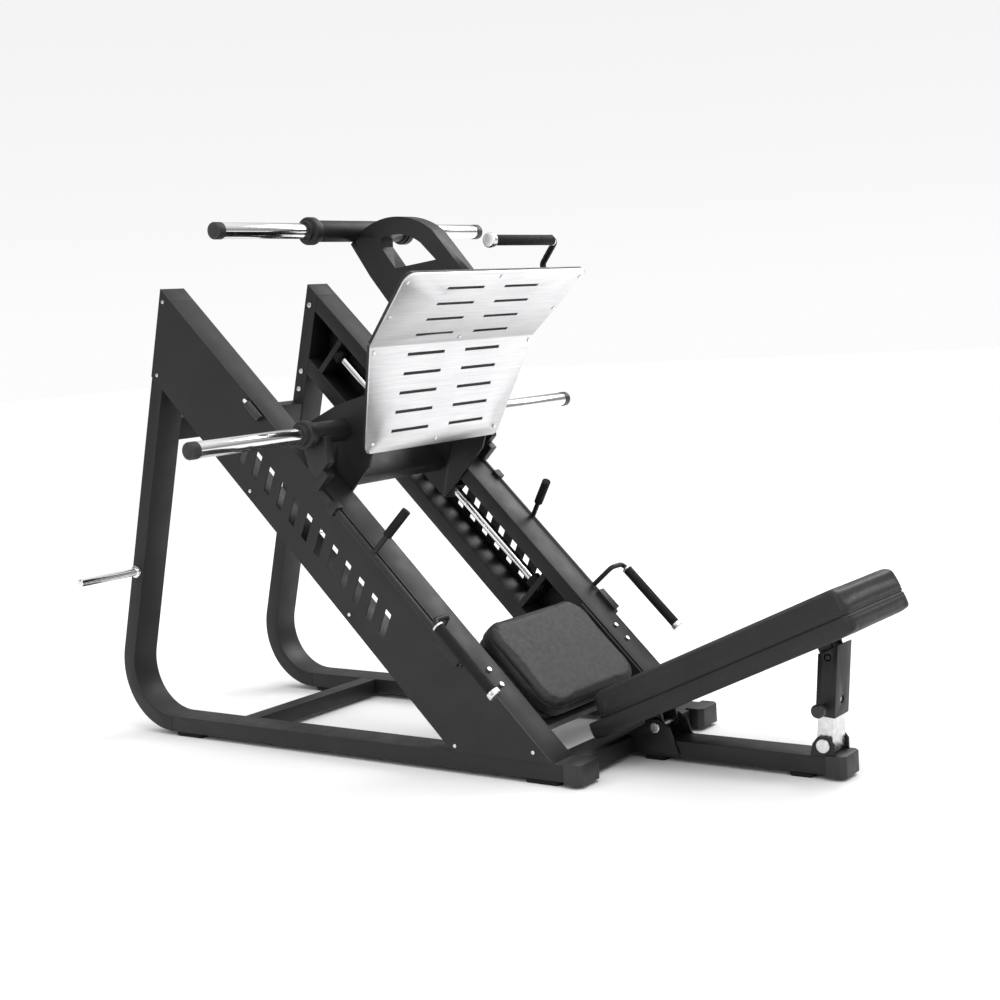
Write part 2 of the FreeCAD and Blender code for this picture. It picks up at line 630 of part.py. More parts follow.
# ---------------------------------------------------------------- sled

TILT = "(plate_lower_tilt - 45) * 1 deg"
SKIN = "(plate_sheet + pan_sheet)"


def pan_back(off):
    """How far along the rail the back of the lower pan lies at a given off."""
    return ("(plate_along + {0} * sin({1}) + (({2}) - plate_off + {0} * cos({1}))"
            " * cos({1}) / sin({1}))").format(SKIN, TILT, off)


PAN_FOOT_OFF = "(plate_off - %s * cos(%s) - plate_lower * sin(%s))" % (SKIN, TILT, TILT)
cheek_outline = [(362, -138), (658, -138), (658, -60), (575, 150), (pan_back("330"), 330),
                 (pan_back(PAN_FOOT_OFF), PAN_FOOT_OFF), (362, 100)]
bearings = []
catches = []
collars = []
caps = []
lower_horns = []
upper_horns = []
for side, sign in SIDES:
    cheek_low, cheek_width = span(sign, "cheek_x", "cheek_x + cheek_sheet")
    cheek = prism(side + "_cheek_plate", cheek_outline, cheek_width,
                  on_rail(cheek_low, "0", "0"), RAIL_SIDE, rounds=[("30", (1, 2, 3)), ("10", (0,))],
                  holes=[("sled_along", "sled_off", "sleeve_radius")])
    sub_part(cheek, side + "_cheek_plate")

    block_low, block_width = span(sign, "cheek_x + cheek_sheet",
                                  "cheek_x + cheek_sheet + bearing_side")
    for end, shift in (("low", -1), ("high", 1)):
        start = "sled_along + %d * bearing_spread / 2 - bearing_length / 2" % shift
        block = solid_box("%s_%s_bearing" % (side, end),
                          (block_width, "bearing_length", "bearing_side"),
                          on_rail(block_low, start, "rod_off - bearing_side / 2"), RAIL_TURN)
        bore = solid_round("%s_%s_bearing_bore" % (side, end), "rod_radius + bearing_gap",
                           "bearing_length", on_rail("%d * rod_x" % sign, start, "rod_off"),
                           ALONG_RAIL)
        bearings.append(minus("%s_%s_linear_bearing" % (side, end), block, [bore]))

    catch_low, catch_width = span(sign, "stop_x - catch_half", "stop_x + catch_half")
    catch_start = "stop_high + stop_gap"
    catch = prism(side + "_catch", [(catch_start, 20), ("stop_high + 40", 20),
                                    ("sled_along + 10", 60), ("sled_along", "sled_off"),
                                    ("sled_along - 40", 140), (catch_start, 90)],
                  catch_width, on_rail(catch_low, "0", "0"), RAIL_SIDE)
    sleeve_cut = solid_round(side + "_catch_bore", "sleeve_radius", catch_width,
                             on_rail(catch_low, "sled_along", "sled_off"), ALONG_X)
    catches.append(minus(side + "_stop_catch", catch, [sleeve_cut]))

    outward = ALONG_X if sign > 0 else Rotation(AXIS_Y, -90)
    collar_profile = [("horn_root", "0"), ("collar_radius - 5", "0"), ("collar_radius - 5", "9"),
                      ("collar_radius", "12"), ("collar_radius", "34"), ("collar_radius - 4", "38"),
                      ("horn_radius + 8", "38"), ("horn_radius + 6", "collar_length"),
                      ("horn_root", "collar_length")]
    cap_profile = [("0", "0"), ("horn_root", "0"), ("horn_root", "cap_length - 4"),
                   ("horn_root - 4", "cap_length"), ("0", "cap_length")]
    for level, start, end, along, off, horns in (
            ("lower", "lower_sleeve_end", "lower_horn_end", "sled_along", "sled_off", lower_horns),
            ("upper", "upper_sleeve_end", "upper_horn_end", "upper_horn_along",
             "upper_horn_off", upper_horns)):
        name = "%s_%s" % (side, level)
        run = "%s - %s" % (end, start)
        horn_profile = [("horn_radius - horn_wall", "0"), ("horn_root", "0"),
                        ("horn_root", "collar_length"), ("horn_radius", "collar_length"),
                        ("horn_radius", run), ("horn_radius - horn_wall", run)]
        horns.append(turned(name + "_horn", horn_profile,
                            on_rail("%d * %s" % (sign, start), along, off), outward))
        collars.append(turned(name + "_collar", collar_profile,
                              on_rail("%d * %s" % (sign, start), along, off), outward))
        caps.append(turned(name + "_cap", cap_profile,
                           on_rail("%d * %s" % (sign, end), along, off), outward))

group("linear_bearings", bearings)
group("stop_catches", catches)
group("lower_horns", lower_horns)
group("upper_horns", upper_horns)
group("horn_collars", collars)
group("horn_caps", caps)

sub_part(round_tube("lower_horn_axle", "sleeve_radius", "sleeve_radius - sleeve_wall",
                    "2 * lower_sleeve_end", on_rail("-lower_sleeve_end", "sled_along", "sled_off"),
                    ALONG_X), "lower_horn_axle")
sub_part(round_tube("upper_horn_axle", "sleeve_radius", "sleeve_radius - sleeve_wall",
                    "2 * upper_sleeve_end",
                    on_rail("-upper_sleeve_end", "upper_horn_along", "upper_horn_off"), ALONG_X),
         "upper_horn_axle")
sub_part(square_tube("sled_cross_tube", "cross_wide", "cross_tall", "tube_wall", "2 * cheek_x",
                     on_rail("-cheek_x", "cross_along", "cross_off"),
                     RAIL_TURN.multiply(ALONG_X)), "sled_cross_tube")


def rail_vector(along, off, across=0.0):
    """A point of the row frame from plain numbers in rail coordinates."""
    return Vector(*[value(text) for text in on_rail(across, along, off)])


def closed_face(pieces):
    """A flat face bounded by the given lines and arcs."""
    return Part.Face(Part.Wire([piece.toShape() for piece in pieces]))


def tower_shape():
    """A D-shaped boxed tower with a window, welded to the pans behind the footplate."""
    back_low = rail_vector(value(pan_back("344")), 344)
    bend_back = rail_vector(value(pan_back("plate_off - 4")), value("plate_off - 4"))
    back_high = rail_vector(value("plate_along + " + SKIN), 636)
    bend_high = rail_vector(value("plate_along + " + SKIN), value("plate_off"))
    heel = rail_vector(880, 391)
    tail = rail_vector(1004, 416)
    crown = rail_vector(938, 583)
    brow = rail_vector(785, 661)
    rim = closed_face([Part.LineSegment(back_low, heel), Part.LineSegment(heel, tail),
                       Part.Arc(tail, crown, brow), Part.LineSegment(brow, back_high),
                       Part.LineSegment(back_high, bend_high),
                       Part.LineSegment(bend_high, bend_back),
                       Part.LineSegment(bend_back, back_low)])
    corners = [rail_vector(along, off) for along, off in
               ((718, 602), (820, 478), (905, 490), (922, 508))]
    apex = rail_vector(872, 570)
    end = rail_vector(795, 602)
    window = closed_face([Part.LineSegment(corners[0], corners[1]),
                          Part.LineSegment(corners[1], corners[2]),
                          Part.LineSegment(corners[2], corners[3]),
                          Part.Arc(corners[3], apex, end), Part.LineSegment(end, corners[0])])
    side = rim.cut(window).Faces[0]
    width, wall = value("tower_width"), value("tower_wall")
    outside = side.extrude(AXIS_X * width)
    inside = side.makeOffset2D(-wall).extrude(AXIS_X * (width - 2 * wall))
    outside.translate(AXIS_X * -width / 2)
    inside.translate(AXIS_X * (wall - width / 2))
    axle = Part.makeCylinder(value("sleeve_radius"), width,
                             rail_vector(value("upper_horn_along"), value("upper_horn_off"),
                                         -width / 2), AXIS_X)
    web = Part.makeCylinder(value("sleeve_radius + tower_wall"), width,
                            rail_vector(value("upper_horn_along"), value("upper_horn_off"),
                                        -width / 2), AXIS_X)
    return outside.cut(inside.cut(web)).cut(axle)


tower = doc.addObject("Part::Feature", "tower")
tower.Shape = tower_shape()
sub_part(tower, "tower")

# ---------------------------------------------------------------- footplate

UPPER_TURN = Rotation(AXIS_X, 135)
LOWER_TURN = Rotation(AXIS_X, value("plate_lower_tilt"))
BEND = on_rail("0", "plate_along", "plate_off")


def treads(count, first, pitch):
    """Two columns of long narrow slots, counted away from the bend."""
    slots = []
    for row in range(count):
        low = "(%s + %d * (%s))" % (first, row, pitch)
        for left in ("tread_inner_x", "-(tread_inner_x + tread_length)"):
            slots.append([(left, low), (left + " + tread_length", low),
                          (left + " + tread_length", low + " + tread_high"),
                          (left, low + " + tread_high")])
    return slots


def back_from(centre, turn, depth):
    """The centre moved back from a plate's front face by the depth."""
    normal = turn.multVec(Vector(0, 0, 1))
    return tuple("%s - (%s) * (%.9f)" % (text, depth, part)
                 for text, part in zip(centre, normal))


def upper_outline(inset):
    """Outline of the upper plate, wider at the top."""
    half, wide = "(plate_half - %s)" % inset, "(plate_top_half - %s)" % inset
    top = "(plate_upper - %s)" % inset
    return [("-" + half, "0"), (half, "0"), (wide, top), ("-" + wide, top)]


def lower_outline(inset):
    """Outline of the lower plate, narrower at the foot."""
    half, foot = "(plate_half - %s)" % inset, "(plate_foot_half - %s)" % inset
    low = "-(plate_lower - %s)" % inset
    return [("-" + foot, low), (foot, low), (half, "0"), ("-" + half, "0")]


def bend_filler(name, near, deep):
    """The wedge that closes the fold between the two plates."""
    points = []
    for turn, depth in ((UPPER_TURN, near), (UPPER_TURN, deep), (LOWER_TURN, deep),
                        (LOWER_TURN, near)):
        points.append(Vector(*[value(text) for text in back_from(BEND, turn, depth)]))
    corners = [points[0], points[1], points[2]] + ([points[3]] if near else [])
    half = value("plate_half")
    wedge = Part.Face(Part.makePolygon(corners + corners[:1])).extrude(AXIS_X * 2 * half)
    wedge.translate(AXIS_X * -half)
    item = doc.addObject("Part::Feature", name)
    item.Shape = wedge
    return item


upper_plate = prism("upper_plate", upper_outline("0"), "plate_sheet",
                    back_from(BEND, UPPER_TURN, "plate_sheet"), UPPER_TURN,
                    rounds=[("plate_corner", (2, 3))],
                    windows=treads(4, "30", "tread_pitch"))
lower_plate = prism("lower_plate", lower_outline("0"), "plate_sheet",
                    back_from(BEND, LOWER_TURN, "plate_sheet"), LOWER_TURN,
                    rounds=[("plate_corner", (0, 1))],
                    windows=treads(5, "-38", "-tread_pitch"))
joined("footplate", [upper_plate, lower_plate, bend_filler("plate_fold", 0, "plate_sheet")])


def pan(name, outline, turn, inner, rounds):
    """A folded steel pan: a sheet with a lip round its free edges."""
    depth = "plate_sheet + pan_depth"
    outside = prism(name + "_outside", outline, "pan_depth", back_from(BEND, turn, depth), turn,
                    rounds=rounds)
    inside = prism(name + "_inside", inner, "pan_depth - pan_sheet",
                   back_from(BEND, turn, depth), turn)
    return minus(name, outside, [inside])


LIP = "9"
upper_inner = [("-(plate_half - %s)" % LIP, "-40"), ("plate_half - %s" % LIP, "-40"),
               ("plate_half - %s" % LIP, "0"), ("plate_top_half - 2 * %s" % LIP, "plate_upper - 30"),
               ("plate_top_half - 30", "plate_upper - %s" % LIP),
               ("-(plate_top_half - 30)", "plate_upper - %s" % LIP),
               ("-(plate_top_half - 2 * %s)" % LIP, "plate_upper - 30"),
               ("-(plate_half - %s)" % LIP, "0")]
lower_inner = [("-(plate_foot_half - %s)" % LIP, "-(plate_lower + 40)"),
               ("plate_foot_half - %s" % LIP, "-(plate_lower + 40)"),
               ("plate_foot_half - %s" % LIP, "-plate_lower"),
               ("plate_half - %s" % LIP, "0"), ("plate_half - %s" % LIP, "40"),
               ("-(plate_half - %s)" % LIP, "40"), ("-(plate_half - %s)" % LIP, "0"),
               ("-(plate_foot_half - %s)" % LIP, "-plate_lower")]
group("footplate_pans", [
    pan("upper_pan", upper_outline("pan_inset"), UPPER_TURN, upper_inner,
        [("plate_corner - pan_inset", (2, 3))]),
    pan("lower_pan", lower_outline("pan_inset"), LOWER_TURN, lower_inner,
        [("plate_corner - pan_inset", (0, 1))])])

PLATE_SCREWS = [(UPPER_TURN, 0, 256), (UPPER_TURN, 440, 244), (UPPER_TURN, -440, 244),
                (UPPER_TURN, 418, 113), (UPPER_TURN, -418, 113), (UPPER_TURN, 0, 14),
                (LOWER_TURN, 392, -20), (LOWER_TURN, -392, -20), (LOWER_TURN, 0, -320),
                (LOWER_TURN, 310, -310), (LOWER_TURN, -310, -310)]
plate_screws = []
for count, (turn, across, up) in enumerate(PLATE_SCREWS):
    spot = turn.multVec(Vector(across, up, 0))
    plate_screws.append(solid_round(
        "plate_screw_%d" % count, 7, 2,
        tuple("%s + (%.6f)" % (text, part) for text, part in zip(BEND, spot)), turn))
group("footplate_screws", plate_screws)

# ---------------------------------------------------------------- sled handle

HANDLE_X, HANDLE_ALONG, HANDLE_OFF = 422, 651, 736
GRIP_START, GRIP_LENGTH, HANDLE_RADIUS = 76, 318, 10
handle_points = [on_rail(HANDLE_X, "plate_along + " + SKIN, 636),
                 on_rail(HANDLE_X, HANDLE_ALONG - 12, 636),
                 on_rail(HANDLE_X, HANDLE_ALONG, HANDLE_OFF),
                 on_rail(GRIP_START - 14, HANDLE_ALONG, HANDLE_OFF)]
sub_part(bent_rod("sled_handle", HANDLE_RADIUS, handle_points, 20), "sled_handle")
sub_part(round_tube("sled_handle_grip", 16.5, HANDLE_RADIUS, GRIP_LENGTH,
                    on_rail(GRIP_START, HANDLE_ALONG, HANDLE_OFF), ALONG_X), "sled_handle_grip")
end_cap = turned("handle_end_cap", [("0", "0"), ("20", "0"), ("24", "4"), ("24", "18"),
                                    ("20", "22"), ("10", "22"), ("10", "10"), ("0", "10")],
                 on_rail(GRIP_START - 24, HANDLE_ALONG, HANDLE_OFF), ALONG_X)
end_ring = round_tube("handle_end_ring", 18, HANDLE_RADIUS, 6,
                      on_rail(GRIP_START + GRIP_LENGTH, HANDLE_ALONG, HANDLE_OFF), ALONG_X)
group("sled_handle_cap", [end_cap, end_ring])

# ---------------------------------------------------------------- safety stops


HANDLE_SIDE, HANDLE_RISE, HANDLE_TOP, HANDLE_END = 94, 78, -192, -468
LEVER_GRIP_RADIUS, LEVER_GRIP_HELD, LEVER_GRIP_LENGTH = 14, 92, 97


def stop_side(side, sign):
    """A stop bar with its finger, lever and handle, and the grips on them."""
    centre = "%d * stop_x" % sign
    bar = round_tube(side + "_bar", "stop_radius", "stop_radius - stop_wall", "stop_high - stop_low",
                     on_rail(centre, "stop_low", "stop_off"), ALONG_RAIL)
    finger_low, finger_width = span(sign, "stop_x - catch_half", "stop_x + catch_half")
    finger = solid_box(side + "_finger", (finger_width, 25, 60),
                       on_rail(finger_low, "stop_high - 25", "0"), RAIL_TURN)
    finger_cut = solid_round(side + "_finger_cut", "stop_radius - 2", 40,
                             on_rail(centre, "stop_high - 30", "stop_off"), ALONG_RAIL)
    finger = minus(side + "_stop_finger", finger, [finger_cut])
    lever_foot = rail_vector(124, value("stop_off + stop_radius - 3"), sign * value("stop_x"))
    lever_tip = rail_vector(141, 147, sign * 365)
    lever = doc.addObject("Part::Feature", side + "_lever")
    reach = lever_tip - lever_foot
    lever.Shape = Part.makeCylinder(value("lever_radius"), reach.Length, lever_foot, reach)
    out_x = sign * (value("stop_x") + HANDLE_SIDE)
    rod = bent_rod(side + "_handle_rod", "lever_radius",
                   [on_rail(centre, HANDLE_TOP, "stop_off + stop_radius - 3"),
                    on_rail(sign * (value("stop_x") + 26), HANDLE_TOP, HANDLE_RISE),
                    on_rail(out_x, HANDLE_TOP, HANDLE_RISE),
                    on_rail(out_x, HANDLE_END, HANDLE_RISE)], 18)
    weldment = doc.addObject("Part::MultiFuse", side + "_stop_bar")
    weldment.Shapes = [bar, finger, lever, rod]
    sub_part(weldment, side + "_stop_bar")

    grip = round_tube(side + "_handle_grip", "grip_radius", "lever_radius", 240,
                      on_rail(out_x, HANDLE_END + 10, HANDLE_RISE), ALONG_RAIL)
    tip_start = lever_foot + reach * ((reach.Length - LEVER_GRIP_HELD) / reach.Length)
    lever_grip = doc.addObject("Part::Feature", side + "_lever_grip")
    sleeve = Part.makeCylinder(LEVER_GRIP_RADIUS, LEVER_GRIP_LENGTH, tip_start, reach)
    lever_grip.Shape = sleeve.cut(Part.makeCylinder(value("lever_radius"), LEVER_GRIP_HELD,
                                                    tip_start, reach))
    group(side + "_stop_grips", [grip, lever_grip])

    cap = turned(side + "_handle_cap", [("0", "0"), ("17", "0"), ("20", "3"), ("20", "17"),
                                        ("lever_radius", "17"), ("lever_radius", "7"),
                                        ("0", "7")],
                 on_rail(out_x, HANDLE_END - 7, HANDLE_RISE), ALONG_RAIL)
    ring = round_tube(side + "_handle_ring", 17.5, "lever_radius", 6,
                      on_rail(out_x, HANDLE_END + 250, HANDLE_RISE), ALONG_RAIL)
    group(side + "_handle_ends", [cap, ring])


stop_bearings = []
for side, sign in SIDES:
    stop_side(side, sign)
    low_x, width = span(sign, PANEL_OUTER, "stop_x + stop_radius + 5")
    for count, (start, length) in enumerate(((-300, 80), (300, 30))):
        block = solid_box("%s_stop_block_%d" % (side, count), (width, length, "stop_block"),
                          on_rail(low_x, start, "stop_off - stop_block / 2"), RAIL_TURN)
        bore = solid_round("%s_stop_bore_%d" % (side, count), "stop_radius + hinge_gap", length,
                           on_rail("%d * stop_x" % sign, start, "stop_off"), ALONG_RAIL)
        stop_bearings.append(minus("%s_stop_bearing_%d" % (side, count), block, [bore]))
group("stop_bar_bearings", stop_bearings)

# ---------------------------------------------------------------- backrest

BACK_UNDER = "(back_soft + back_hard - back_out)"
for label, heel, low, thick in (
        ("back_cushion", "0", "back_out - back_soft", "back_soft"),
        ("back_base", "back_heel", "-" + BACK_UNDER, "back_hard")):
    plan = rectangle("2 * back_half", "back_length + " + heel)
    cushion = prism(label, plan, thick, on_back("0", "(back_length - %s) / 2" % heel, low),
                    BACK_TURN, rounds=[("back_corner", range(4))])
    sub_part(cushion, label)

STRAP_OUT = "-(%s + strap_sheet)" % BACK_UNDER
hinge_lug = [(46, STRAP_OUT), (107, STRAP_OUT), (98, -155), (88, -167), (65, -167), (55, -155)]
top_lug = [(649, STRAP_OUT), (692, STRAP_OUT), (684, -155), (675, -163), (660, -163), (651, -155)]
PIVOT_UP, PIVOT_OUT = "76.5", "-147.1"
frame_pieces = []
for side, sign in SIDES:
    strap_x, strap_width = span(sign, "strap_x", "strap_x + strap_width")
    frame_pieces.append(prism(side + "_strap", [("strap_low", STRAP_OUT),
                                                ("strap_high", STRAP_OUT),
                                                ("strap_high", "-" + BACK_UNDER),
                                                ("strap_low", "-" + BACK_UNDER)],
                              strap_width, on_back("%s + %s" % (strap_x, strap_width), "0", "0"),
                              BACK_SIDE))
    lug_x, lug_width = span(sign, "hinge_lug_x", "hinge_lug_x + lug_sheet")
    frame_pieces.append(prism(side + "_hinge_lug", hinge_lug, lug_width,
                              on_back("%s + %s" % (lug_x, lug_width), "0", "0"), BACK_SIDE,
                              holes=[(PIVOT_UP, PIVOT_OUT, "back_pin_radius + hinge_gap")]))
    lug_x, lug_width = span(sign, "top_lug_x", "top_lug_x + lug_sheet")
    frame_pieces.append(prism(side + "_top_lug", top_lug, lug_width,
                              on_back("%s + %s" % (lug_x, lug_width), "0", "0"), BACK_SIDE))
POST_WIDE = "(post_outer + post_extra_width)"
frame_pieces.append(solid_round("top_pin", "post_pin_radius", POST_WIDE,
                                on_post("-%s / 2" % POST_WIDE, "post_span"), ALONG_X))
joined("back_frame", frame_pieces)

# ---------------------------------------------------------------- telescoping post

INNER_WIDE = "(post_inner + post_extra_width)"
inner_tube = square_tube("post_inner", INNER_WIDE, "post_inner", "post_wall", 190,
                         on_post("0", -20), POST_TURN)
bolt_bore = solid_round("post_bolt_bore", "post_bolt_radius + hinge_gap", POST_WIDE,
                        on_post("-%s / 2" % POST_WIDE, 0), ALONG_X)
sub_part(minus("post_inner_tube", inner_tube, [bolt_bore]), "post_inner_tube")

# The outer tube's top is cut parallel to the pad, and its near wall is open for the lugs.
outer_wall = "(post_outer - post_inner) / 2 - post_slip"
TOP_CLEARANCE = 14
outer_tube = square_tube("post_outer", POST_WIDE, "post_outer", outer_wall,
                         "post_span + 60 - post_low", on_post("0", "post_low"), POST_TURN)
top_trim = solid_box("post_top_trim", ("2 * " + POST_WIDE, 300, 100),
                     on_back("-" + POST_WIDE, 830, "%s - %d" % (STRAP_OUT, TOP_CLEARANCE)),
                     BACK_TURN)
top_gap = solid_box("post_top_gap", (INNER_WIDE, "post_outer", 80),
                    on_post("-%s / 2" % INNER_WIDE, "post_span - 24", "post_outer / 4"), POST_TURN)
top_play = solid_round("post_top_play", "post_pin_radius + post_pin_play", "2 * " + POST_WIDE,
                       on_post("-" + POST_WIDE, "post_span"), ALONG_X)
nose_bore = solid_round("post_nose_bore", "pull_pin_radius + hinge_gap", "post_outer / 2",
                        on_post("-%s / 2 - 5" % POST_WIDE, "pull_pin_up"), ALONG_X)
sight_hole = solid_round("post_sight_hole", 12, 20,
                         on_post("0", "pull_pin_up + 18", "-post_outer / 2 - 5"),
                         POST_TURN.multiply(Rotation(AXIS_X, -90)))
outer_tube = minus("post_outer_bored", outer_tube,
                   [top_trim, top_gap, top_play, nose_bore, sight_hole])
BARREL = 18
barrel = round_tube("pin_barrel", 11, "pull_pin_radius + hinge_gap", BARREL,
                    on_post("-%s / 2 - %d" % (POST_WIDE, BARREL), "pull_pin_up"), ALONG_X)
joined("post_outer_tube", [outer_tube, barrel])

NOSE_GAP, KNOB_LENGTH, PULL_LENGTH = 0.4, 35, 62.6
pin_profile = [("0", "0"), ("knob_radius - 5", "0"), ("knob_radius", "6"), ("knob_radius", "20"),
               ("knob_radius - 6", "31"), ("8", KNOB_LENGTH), ("pull_pin_radius", KNOB_LENGTH),
               ("pull_pin_radius", PULL_LENGTH), ("0", PULL_LENGTH)]
sub_part(turned("pop_pin", pin_profile,
                on_post("-%s / 2 - %s" % (INNER_WIDE, NOSE_GAP + PULL_LENGTH), "pull_pin_up"),
                ALONG_X), "pop_pin")

# ---------------------------------------------------------------- checks and export

doc.recompute()
for item in doc.Objects:
    if "Invalid" in item.State or "Error" in item.State:
        raise SystemExit("%s failed: %s" % (item.Name, item.State))
labels = [item.Label for item in SUB_PARTS]
if len(set(labels)) != len(labels) or len(labels) > 60:
    raise SystemExit("%d labels, %d different" % (len(labels), len(set(labels))))
os.makedirs("parts", exist_ok=True)
low, high = Vector(1e9, 1e9, 1e9), Vector(-1e9, -1e9, -1e9)
for item in SUB_PARTS:
    shape = item.Shape
    if shape.isNull() or not shape.isValid() or not shape.Solids:
        raise SystemExit("%s has no valid solid" % item.Label)
    extent = shape.BoundBox
    low = Vector(min(low.x, extent.XMin), min(low.y, extent.YMin), min(low.z, extent.ZMin))
    high = Vector(max(high.x, extent.XMax), max(high.y, extent.YMax), max(high.z, extent.ZMax))
    shape.exportStep("parts/%s.step" % item.Label)
print("%d sub-parts, from %s to %s" % (len(SUB_PARTS), low, high))
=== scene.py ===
import json
import math

import bmesh
import bpy
from mathutils import Matrix, Vector, noise

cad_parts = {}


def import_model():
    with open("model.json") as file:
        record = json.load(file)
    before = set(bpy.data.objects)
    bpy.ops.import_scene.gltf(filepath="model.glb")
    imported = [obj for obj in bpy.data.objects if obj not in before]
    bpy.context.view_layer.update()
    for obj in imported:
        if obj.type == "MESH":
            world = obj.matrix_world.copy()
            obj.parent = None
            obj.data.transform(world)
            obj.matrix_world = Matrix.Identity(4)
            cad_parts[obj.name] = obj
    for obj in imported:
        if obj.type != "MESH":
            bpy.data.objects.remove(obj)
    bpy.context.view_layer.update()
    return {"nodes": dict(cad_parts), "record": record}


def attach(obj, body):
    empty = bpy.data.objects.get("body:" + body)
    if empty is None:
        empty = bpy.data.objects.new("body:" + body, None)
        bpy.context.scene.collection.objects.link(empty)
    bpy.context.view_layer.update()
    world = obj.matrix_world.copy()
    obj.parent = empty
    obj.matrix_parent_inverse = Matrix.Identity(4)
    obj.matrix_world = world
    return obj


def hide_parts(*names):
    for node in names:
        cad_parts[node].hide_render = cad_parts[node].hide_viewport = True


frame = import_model()

# Sled leg press: a softened shell for each CAD part, horns and grips included, turned caps
# for the horn ends, upholstered pads and a brushed footplate. Everything is in metres.

RECORD = frame["record"]
NODES = frame["nodes"]
BODY_OF = {node: body for body, members in RECORD["behaviour"]["bodies"].items()
           for node in members}
SLOT_OF = {part["node"]: part["material_slot"] for part in RECORD["subparts"]}

PLATE_BEND = 1.2399
RAIL_DATUM = Vector((0.0, 0.040, 0.554))
ACROSS = Vector((1.0, 0.0, 0.0))

# ---------------------------------------------------------------- material kit


class Surface:
    """A Principled material built node by node in object space."""

    def __init__(self, name):
        self.material = bpy.data.materials.new(name)
        self.material.use_nodes = True
        self.tree = self.material.node_tree
        self.shader = self.tree.nodes["Principled BSDF"]
        self.place = self.add("ShaderNodeTexCoord").outputs["Object"]
        self.height = None

    def add(self, kind, **settings):
        node = self.tree.nodes.new(kind)
        for key, setting in settings.items():
            setattr(node, key, setting)
        return node

    def join(self, source, target):
        self.tree.links.new(source, target)

    def set(self, **values):
        for key, setting in values.items():
            self.shader.inputs[key.replace("_", " ")].default_value = setting
        return self

    def scaled(self, stretch):
        """The object's coordinates stretched by three factors."""
        mapping = self.add("ShaderNodeMapping")
        mapping.inputs["Scale"].default_value = stretch
        self.join(self.place, mapping.inputs["Vector"])
        return mapping.outputs["Vector"]

    def noise(self, scale, detail=3.0, stretch=None, roughness=0.5):
        node = self.add("ShaderNodeTexNoise")
        node.inputs["Scale"].default_value = scale
        node.inputs["Detail"].default_value = detail
        node.inputs["Roughness"].default_value = roughness
        self.join(self.scaled(stretch) if stretch else self.place, node.inputs["Vector"])
        return node.outputs["Fac"]

    def cells(self, scale, feature="F1"):
        node = self.add("ShaderNodeTexVoronoi", feature=feature)
        node.inputs["Scale"].default_value = scale
        self.join(self.place, node.inputs["Vector"])
        return node.outputs["Distance"]

    def ramp(self, source, stops):
        """A colour ramp: stops are pairs of position and colour or grey."""
        node = self.add("ShaderNodeValToRGB")
        elements = node.color_ramp.elements
        while len(elements) < len(stops):
            elements.new(0.5)
        for element, (position, shade) in zip(elements, stops):
            element.position = position
            element.color = tuple(shade) + (1.0,) if hasattr(shade, "__len__") else (
                shade, shade, shade, 1.0)
        self.join(source, node.inputs["Fac"])
        return node.outputs["Color"]

    def spread(self, source, low, high):
        """Remaps a noise from about 0.3..0.7 to a range of values."""
        node = self.add("ShaderNodeMapRange")
        node.inputs["From Min"].default_value = 0.3
        node.inputs["From Max"].default_value = 0.7
        node.inputs["To Min"].default_value = low
        node.inputs["To Max"].default_value = high
        self.join(source, node.inputs["Value"])
        return node.outputs["Result"]

    def mixed(self, first, second, how="MULTIPLY", amount=1.0):
        node = self.add("ShaderNodeMix", data_type="RGBA", blend_type=how)
        node.inputs["Factor"].default_value = amount
        self.join(first, node.inputs["A"])
        self.join(second, node.inputs["B"])
        return node.outputs["Result"]

    def bump(self, source, distance, strength=1.0):
        """Adds a layer of relief, with its depth in metres."""
        node = self.add("ShaderNodeBump")
        node.inputs["Distance"].default_value = distance
        node.inputs["Strength"].default_value = strength
        self.join(source, node.inputs["Height"])
        if self.height is not None:
            self.join(self.height, node.inputs["Normal"])
        self.height = node.outputs["Normal"]
        self.join(self.height, self.shader.inputs["Normal"])

    def colour(self, source):
        self.join(source, self.shader.inputs["Base Color"])

    def gloss(self, source):
        self.join(source, self.shader.inputs["Roughness"])


def powder_coat(name, peel):
    """Satin black powder coat: fine orange peel, faint mottling and dulled patches."""
    surface = Surface(name)
    mottle = surface.ramp(surface.noise(5.0, 4.0), [(0.3, (0.0090, 0.0090, 0.0094)),
                                                    (0.7, (0.0130, 0.0130, 0.0134))])
    speckle = surface.ramp(surface.noise(900.0, 1.0), [(0.35, 0.86), (0.65, 1.12)])
    surface.colour(surface.mixed(mottle, speckle))
    surface.gloss(surface.spread(surface.noise(14.0, 5.0), 0.40, 0.54))
    surface.bump(surface.noise(peel, 2.0), 0.00035, 0.35)
    return surface.set(Specular_IOR_Level=0.36).material


def chrome():
    """Polished chrome with faint wiping marks."""
    surface = Surface("chrome_plate")
    surface.colour(surface.ramp(surface.noise(9.0, 3.0), [(0.3, (0.74, 0.745, 0.76)),
                                                          (0.7, (0.83, 0.83, 0.84))]))
    surface.gloss(surface.spread(surface.noise(40.0, 6.0, (0.15, 1.0, 1.0)), 0.07, 0.15))
    surface.bump(surface.noise(260.0, 4.0, (0.04, 1.0, 1.0)), 0.00004, 0.4)
    return surface.set(Metallic=1.0).material


def bright_steel():
    """Bright zinc plate on small steel parts."""
    surface = Surface("bright_zinc")
    surface.colour(surface.ramp(surface.noise(60.0, 4.0), [(0.3, (0.60, 0.60, 0.61)),
                                                           (0.7, (0.76, 0.76, 0.76))]))
    surface.gloss(surface.spread(surface.noise(120.0, 4.0), 0.22, 0.38))
    surface.bump(surface.noise(300.0, 2.0, (1.0, 1.0, 0.2)), 0.00004, 0.25)
    return surface.set(Metallic=1.0).material


